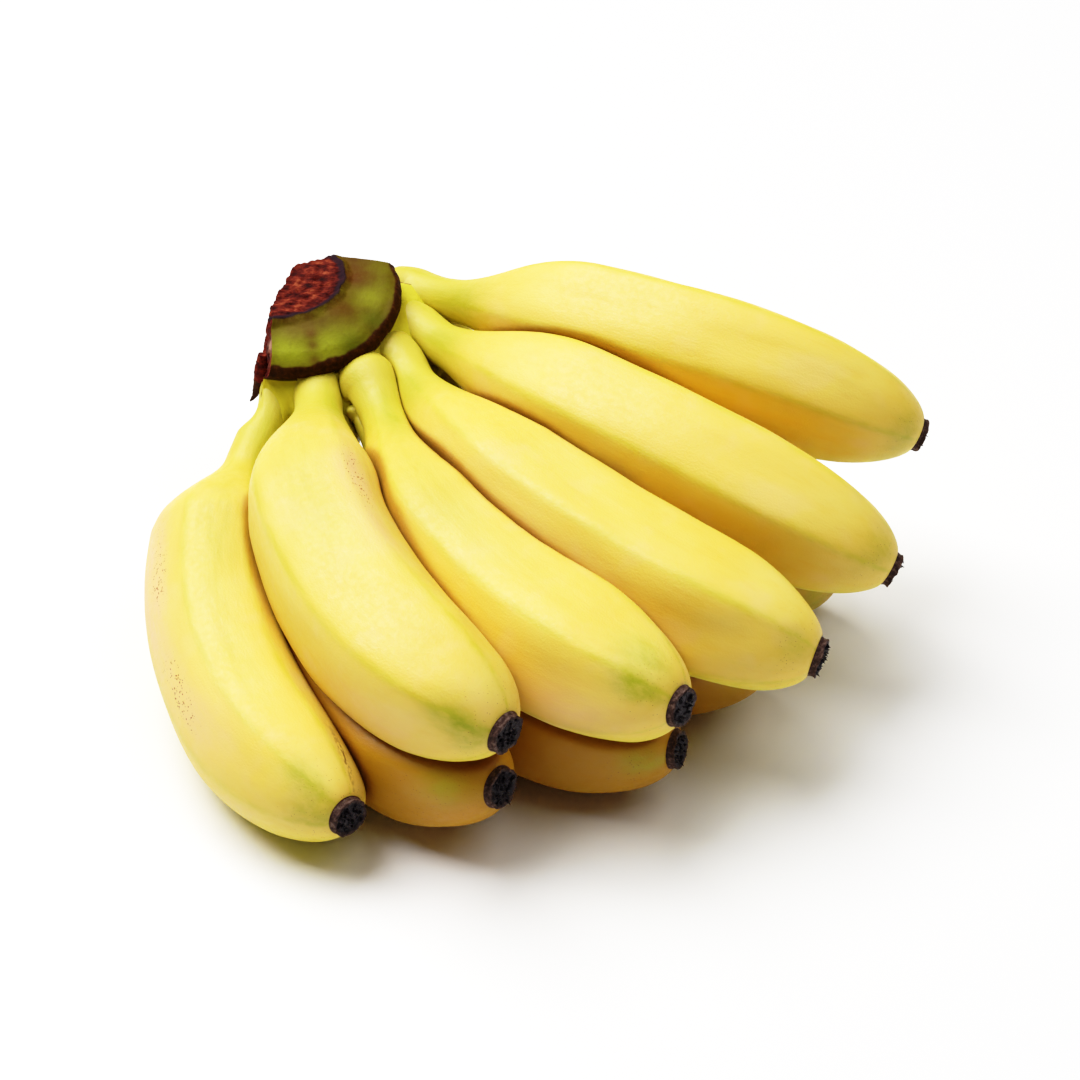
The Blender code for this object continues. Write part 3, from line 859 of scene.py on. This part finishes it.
def stub_piece(name, finger, tree, husk, seed):
    middles, ways = centreline(finger, np.array([1.0]))
    way, side = ways[0], across(finger, ways)[0]
    back = np.cross(way, side)
    radius = float(girth(finger, 1.0)) * STUB_SHARE
    mesh = grown(name, stub_guide(), tree, {
        "Radius": radius, "Height": STUB_LENGTH, "Around": STUB_AROUND, "Seed": seed, "Husk": husk})
    local = read_points(mesh, None, 3) / MM
    turned = local @ np.array([back, side, way])
    mesh.vertices.foreach_set("co", placed(turned + middles[0] + way * STUB_LIFT).ravel())
    return finished_piece(name, mesh)


# Crown

CROWN_PROFILE = [  # radius, height along the axis: underside, foot, band, rind, top
    (0.4, -22.0), (6.0, -21.9), (9.5, -21.5), (14.0, -20.6), (16.8, -18.6), (18.2, -15.5),
    (18.9, -8.0), (19.3, -2.5), (19.4, -0.7), (19.8, -0.35), (20.6, -0.15), (21.0, 0.3), (21.2, 1.2),
    (21.0, 2.2), (20.55, 3.0), (20.1, 3.3), (19.5, 3.75), (18.0, 4.9), (15.0, 6.1), (11.0, 7.2),
    (6.0, 7.8), (0.4, 7.9),
]
BAND = (-0.5, 3.15)      # heights of the brown band at the rim
CROWN_RISE = (0.60, 0.42, -20)
RISE_RADIUS = 10.0
CROWN_ROWS = 250
CROWN_AROUND = 380
NOT_CUT = -9.0           # depth of a cut that is given to skin far from it
STALK_CENTRE = np.array([-54.5, 19.5, 50.6])
STALK_NORMAL = (-0.082, -0.069, 0.994)
STALK_RADIUS = 13.3
FOOT_CUT = ((-58.9, 6.0, 33.5), (-0.99, 0.0, 0.12))   # where the foot and first neck end
KNIFE_CUTS = [  # point on the cut, outward normal
    ((-57.4, 3.6, 41.8), (-0.91, -0.26, 0.32)),
    ((-55.5, 15.6, 46.8), (-0.97, 0.243, 0.12)),
    ((-48.3, 27.0, 50.8), (-0.44, 0.87, 0.24)),
    ((-38.0, 26.6, 51.6), (0.19, 0.93, 0.36)),
]
WEB_STATIONS = (90, 12)
WEB_REACH = 4.5          # how far apart two necks may be and still grow together
WEB_LIMIT = 27.0         # greatest distance of the web from the crown's axis
WEB_BOTTOM = -20.0       # height under which the foot has no web
WEB_SPREAD = 1.2         # how fast the web may widen downwards
WEB_SLACK = 0.6
WEB_SINK = 0.12          # how far the web stays inside the necks' skins
WEB_HALVINGS = 8
NECK_SHARE = 0.22        # share of a finger that counts as its neck
TOP_LOBES = ((7, 0.6, 0.5), (4, 2.0, 0.35))   # count, turn in radians, strength
LOBE_HEIGHT = 0.45
CROWN_MARKS = [  # kind, place, size across, strength
    ("lime", (-53.2, 0.6, 45.5), 3.6, 0.9), ("lime", (-49.6, -0.6, 44.9), 3.2, 0.55),
    ("lime", (-43.6, 1.2, 46.0), 4.0, 0.85), ("lime", (-35.5, 14.5, 50.0), 3.6, 0.6),
    ("lime", (-38.5, 4.5, 46.8), 3.4, 0.4), ("bloom", (-51.0, 4.4, 47.8), 2.8, 0.6),
    ("bloom", (-47.6, 4.9, 48.4), 1.8, 0.45), ("deep", (-38.8, 2.1, 45.6), 2.8, 0.5),
    ("deep", (-34.5, 8.4, 47.8), 3.0, 0.5), ("russet", (-39.0, 20.6, 50.9), 3.6, 0.9),
    ("russet", (-41.7, 10.0, 49.7), 3.0, 0.55), ("russet", (-40.0, 25.5, 51.3), 2.6, 0.5),
    ("russet", (-47.4, 3.4, 47.8), 1.3, 0.8), ("russet", (-47.0, 1.1, 46.4), 1.2, 0.7),
    ("russet", (-46.6, -1.2, 44.2), 1.2, 0.65), ("pale", (-56.9, 2.1, 45.7), 1.6, 0.9),
    ("pale", (-57.8, 0.2, 42.8), 1.3, 0.5),
]


def soft_noise(points, scale, seed):
    """Fractal unevenness between about -1 and 1 at each point."""
    shift = Vector((seed * 13.7, seed * 5.1, seed * 9.3))
    return np.array([noise.fractal(Vector(p) * scale + shift, 0.7, 2.0, 3) for p in points])


def soft_union(first, second, reach):
    overlap = np.clip(reach - np.abs(first - second), 0, None) / reach
    return np.minimum(first, second) - overlap ** 2 * reach / 4


def neck_distance(points, fingers, foot):
    """Distance to the skin of the necks grown together with the crown's foot."""
    result = foot
    for finger in fingers:
        line, _, shares, radii = whole_path(finger, *WEB_STATIONS)
        near = shares < NECK_SHARE
        away = norm(points[:, None] - line[near][None], axis=2) - radii[near][None]
        result = soft_union(result, away.min(axis=1), WEB_REACH)
    return result


def webbed(radius, height, around, axis, fingers):
    """Reach of the crown's foot where it fills the angles between the necks."""
    rows = np.nonzero((height < BAND[0] - 0.1) & (height > WEB_BOTTOM))[0]
    reach = np.repeat(radius[:, None], len(around), axis=1)
    base = CROWN_CENTRE + height[rows][:, None, None] * axis
    low = reach[rows] - WEB_SLACK
    widest = reach[rows] + WEB_SPREAD * (BAND[0] - height[rows])[:, None] + WEB_SLACK
    high = np.minimum(widest, WEB_LIMIT)
    for _ in range(WEB_HALVINGS):
        tried = (low + high) / 2
        points = (base + tried[..., None] * around[None]).reshape(-1, 3)
        foot = (tried - reach[rows]).ravel()
        inside = (neck_distance(points, fingers, foot) < -WEB_SINK).reshape(tried.shape)
        low, high = np.where(inside, tried, low), np.where(inside, high, tried)
    reach[rows] = np.maximum(low, reach[rows] - WEB_SLACK / 2)
    return reach


def crown_form(fingers):
    """Points of the crown before it is cut, row by row, and their heights on its profile."""
    right, front, axis = crown_axes()
    profile = np.array(CROWN_PROFILE, float)
    run = np.concatenate([[0], np.cumsum(norm(np.diff(profile, axis=0), axis=1))])
    rows = np.linspace(0, run[-1], CROWN_ROWS)
    radius, height = np.interp(rows, run, profile[:, 0]), np.interp(rows, run, profile[:, 1])
    radius, height = smoothed_row(radius), smoothed_row(height)
    angles = np.arange(CROWN_AROUND) * 2 * math.pi / CROWN_AROUND
    around = np.cos(angles)[:, None] * right + np.sin(angles)[:, None] * front
    mean, swing, heading = CROWN_RISE
    facing = np.cos(angles - math.radians(90 - heading))
    share = mean + swing * facing[None] * np.minimum(radius / RISE_RADIUS, 1)[:, None]
    above = np.maximum(height - BAND[1], 0)[:, None]
    heights = np.minimum(height, BAND[1])[:, None] + above * share
    lobes = sum(np.cos(angles * count + turn) * strength for count, turn, strength in TOP_LOBES)
    swell = ease(3.2, 4.4, height) * (1 - ease(6.6, 7.6, height))
    heights = heights + LOBE_HEIGHT * lobes[None] * swell[:, None]
    reach = webbed(radius, height, around, axis, fingers)
    points = CROWN_CENTRE + reach[..., None] * around[None] + heights[..., None] * axis
    points = points.reshape(-1, 3)
    lumps = soft_noise(points, 0.11, 1)
    points = points + (points - CROWN_CENTRE) / 20 * (lumps * 0.25)[:, None]
    return points, np.repeat(height, CROWN_AROUND)


def crown_cuts(points, level):
    """Crown cut back by the saw and the knife, and how far inside both cuts each point is."""
    up = unit(np.array(STALK_NORMAL))
    offset = points - STALK_CENTRE
    over = offset @ up
    wavy = 0.5 * soft_noise(points, 0.17, 12) + 0.22 * soft_noise(points, 0.6, 14)
    spread = norm(offset - over[:, None] * up, axis=1) + wavy
    on_top = level > BAND[1] + 0.4
    sawn = on_top * ease(STALK_RADIUS + 1.6, STALK_RADIUS - 0.1, spread) * over
    points = points - sawn[:, None] * up
    stalk_cut = np.where(on_top, STALK_RADIUS - spread, NOT_CUT)
    depth = np.full(len(points), -1e3)
    for _ in range(2):
        for cut in KNIFE_CUTS:
            depth = np.maximum(depth, past_cut(points, cut)[0])
            points = cut_back(points, cut)
    points = cut_back(points, FOOT_CUT, share=level < BAND[0])
    return points, stalk_cut, np.maximum(stalk_cut, depth)


def crown_piece(rind, fingers):
    points, level = crown_form(fingers)
    points, stalk_cut, cut = crown_cuts(points, level)
    inside = ease(0.0, 0.7, cut)
    strands = soft_noise(points * np.array([0.5, 1.0, 1.3]), 0.6, 3)
    coarse = soft_noise(points, 0.22, 5)
    inward = unit(CROWN_CENTRE - np.array([0, 0, 6.0]) - points)
    sink = inside * (0.35 + 0.42 * strands + 0.55 * coarse) - 0.25 * np.exp(-((cut - 0.2) / 0.4) ** 2)
    points = points + inward * (sink * (cut > -1.2))[:, None]
    mesh = bpy.data.meshes.new("crown")
    index = np.arange(CROWN_ROWS * CROWN_AROUND).reshape(CROWN_ROWS, CROWN_AROUND)
    near, far = index[:-1], index[1:]
    quads = np.stack([near, np.roll(near, -1, axis=1), np.roll(far, -1, axis=1), far], axis=-1)
    faces = [tuple(quad) for quad in quads.reshape(-1, 4)] + [tuple(index[0][::-1]), tuple(index[-1])]
    mesh.from_pydata([tuple(p) for p in placed(points)], [], faces)
    write_attribute(mesh, "cut", cut)
    write_attribute(mesh, "stalk", stalk_cut)
    wavy = 0.3 * soft_noise(points, 0.3, 8)
    low, high = BAND
    over_band = ease(high + wavy, high + 0.4 + wavy, level)
    write_attribute(mesh, "band", ease(low - 0.3, low, level) * (1 - over_band))
    write_attribute(mesh, "foot", 1 - ease(low - 0.4, low - 0.1, level))
    for kind in ("lime", "bloom", "deep", "russet", "pale"):
        amount = np.zeros(len(points))
        for mark, place, size, strength in CROWN_MARKS:
            if mark == kind:
                away = norm(points - np.array(place), axis=1)
                amount += strength * np.exp(-(away / size) ** 2)
        write_attribute(mesh, kind, np.clip(amount, 0, 1))
    mesh.materials.append(rind)
    return finished_piece("crown", mesh)


TAIL = [  # middle, radius of the dried flap that curls off the crown's left corner
    ((-57.7, 1.9, 43.6), 0.9), ((-57.9, 1.8, 41.5), 1.4), ((-58.1, 1.7, 39.6), 1.65),
    ((-58.5, 1.6, 37.6), 1.45), ((-59.0, 1.6, 35.9), 1.1), ((-59.5, 1.6, 34.6), 0.85),
    ((-60.1, 1.6, 33.2), 0.55), ((-60.9, 1.6, 32.0), 0.12),
]
TAIL_STATIONS = 70
TAIL_AROUND = 28
TAIL_LENGTH = 13
TAIL_FLATNESS = 0.55
TAIL_UNEVENNESS = 2.2
TAIL_RUMPLE = 0.18
TAIL_FACE = np.array([0.35, 0.85, -0.4])   # way that the thin flap faces
TAIL_SMOOTHING = (30, 20)                  # passes over its path and its radius
TAIL_TORN = 0.45                           # share of it that is torn flesh, not bark


def tail_piece(tree, rind):
    """Dried flap at the crown's left corner, swept along its own short path."""
    given = np.linspace(0, 1, len(TAIL))
    fine = np.linspace(0, 1, TAIL_STATIONS)
    rows = [[*middle, radius] for middle, radius in TAIL]
    columns = [np.interp(fine, given, column) for column in zip(*rows)]
    middles = np.stack([smoothed_row(column, TAIL_SMOOTHING[0]) for column in columns[:3]], axis=1)
    radii = smoothed_row(columns[3], TAIL_SMOOTHING[1])
    ways = unit(np.gradient(middles, axis=0))
    side = unit(np.cross(ways, TAIL_FACE))
    guide = guide_line(
        "tail_line", placed(middles),
        (("share", fine), ("girth", radii), ("facets", fine * 0), ("reached", fine * TAIL_LENGTH)),
        (("ahead", ways), ("across", side)))
    mesh = grown("crown_tail", guide, tree, {
        "Around": TAIL_AROUND, "Ridge Height": 0.0, "Unevenness": TAIL_UNEVENNESS, "Seed": 40.0,
        "Skin": rind})
    points, centre = in_millimetres(mesh), in_millimetres(mesh, "middle")
    thin = unit(TAIL_FACE)
    depth = (points - centre) @ thin
    points = points - ((1 - TAIL_FLATNESS) * depth)[:, None] * thin
    points = points + TAIL_RUMPLE * soft_noise(points, 0.9, 21)[:, None] * side[0]
    mesh.vertices.foreach_set("co", placed(points).ravel())
    share = read_points(mesh, "share")
    write_attribute(mesh, "cut", np.where(share < TAIL_TORN, 1.0, -5.0))
    write_attribute(mesh, "stalk", np.full(len(points), NOT_CUT))
    write_attribute(mesh, "band", np.ones(len(points)))
    return finished_piece("crown_tail", mesh)


# Table, light and camera

def table_top():
    made, _, shader = new_material("white_table")
    shader.inputs["Base Color"].default_value = (0.96, 0.96, 0.96, 1)
    shader.inputs["Roughness"].default_value = 0.35
    shader.inputs["Specular IOR Level"].default_value = 0.35
    mesh = bpy.data.meshes.new("table_top")
    edge, reach = 128, 3.0
    ring = [(math.cos(2 * math.pi * k / edge) * reach, math.sin(2 * math.pi * k / edge) * reach, 0)
            for k in range(edge)]
    mesh.from_pydata(ring, [], [tuple(range(edge))])
    mesh.materials.append(made)
    in_scene("table_top", mesh)


LIGHT_AIM = Vector((0, 0, 0.03))
LIGHTS = [  # name, place, width, power in watts
    ("window_light", (-0.93, 0.70, 2.08), 2.0, 104),
    ("side_light", (1.0, -0.10, 1.9), 1.4, 13.5),
]
ROOM_COLOUR = (1, 0.93, 0.84, 1)
ROOM_STRENGTH = 0.08


def softbox(name, place, width, power):
    light = bpy.data.lights.new(name, "AREA")
    light.shape = "RECTANGLE"
    light.size, light.size_y = width, width
    light.energy = power
    lamp = in_scene(name, light)
    lamp.location = place
    lamp.rotation_euler = (LIGHT_AIM - Vector(place)).to_track_quat("-Z", "Y").to_euler()


TONE_WHITE = 1.5         # this much light becomes white
TONE_CURVE = [(0.019, 0.013), (0.0625, 0.075), (0.125, 0.18), (0.3125, 0.51), (0.406, 0.65),
              (0.5625, 0.80), (0.6875, 0.885), (0.8125, 0.945)]


def tone():
    """Soft shoulder, as a photo has, so that bright yellow turns pale and not flat."""
    view = bpy.context.scene.view_settings
    view.view_transform = "Standard"
    view.use_curve_mapping = True
    mapping = view.curve_mapping
    mapping.white_level = (TONE_WHITE, TONE_WHITE, TONE_WHITE)
    for place, level in TONE_CURVE:
        mapping.curves[3].points.new(place, level)
    mapping.update()


def studio():
    table_top()
    for light in LIGHTS:
        softbox(*light)
    world = bpy.data.worlds.new("studio")
    bpy.context.scene.world = world
    world.use_nodes = True
    room = world.node_tree.nodes["Background"]
    room.inputs["Color"].default_value = ROOM_COLOUR
    room.inputs["Strength"].default_value = ROOM_STRENGTH
    tone()


def photo_camera():
    camera = bpy.data.cameras.new("photo_camera")
    camera.lens = CAMERA_LENS
    camera.sensor_width = 36
    camera.clip_start = 0.01
    pitch = math.radians(CAMERA_PITCH)
    target = Vector(CAMERA_TARGET) * MM
    away = Vector((0, -math.cos(pitch), math.sin(pitch))) * CAMERA_AWAY * MM
    holder = in_scene("photo_camera", camera)
    holder.location = target + away
    holder.rotation_euler = (math.radians(90 - CAMERA_PITCH), 0, 0)
    bpy.context.scene.camera = holder


def build():
    photo_camera()
    studio()
    skin, rind, husk = banana_skin(), crown_rind(), dried_stub()
    sweep, turning = finger_tree(), stub_tree()
    everyone = UPPER_ROW + LOWER_ROW
    seed = 0
    for row, members in (("upper", UPPER_ROW), ("lower", LOWER_ROW)):
        for number, finger in enumerate(members, 1):
            seed += 1
            others = [other for other in everyone if other is not finger]
            finger_piece("finger_%s_%d" % (row, number), finger, others, sweep, skin, seed,
                         MARKS["%s_%d" % (row, number)])
            stub_piece("blossom_end_%s_%d" % (row, number), finger, turning, husk, seed)
    crown_piece(rind, everyone)
    tail_piece(sweep, rind)


build()
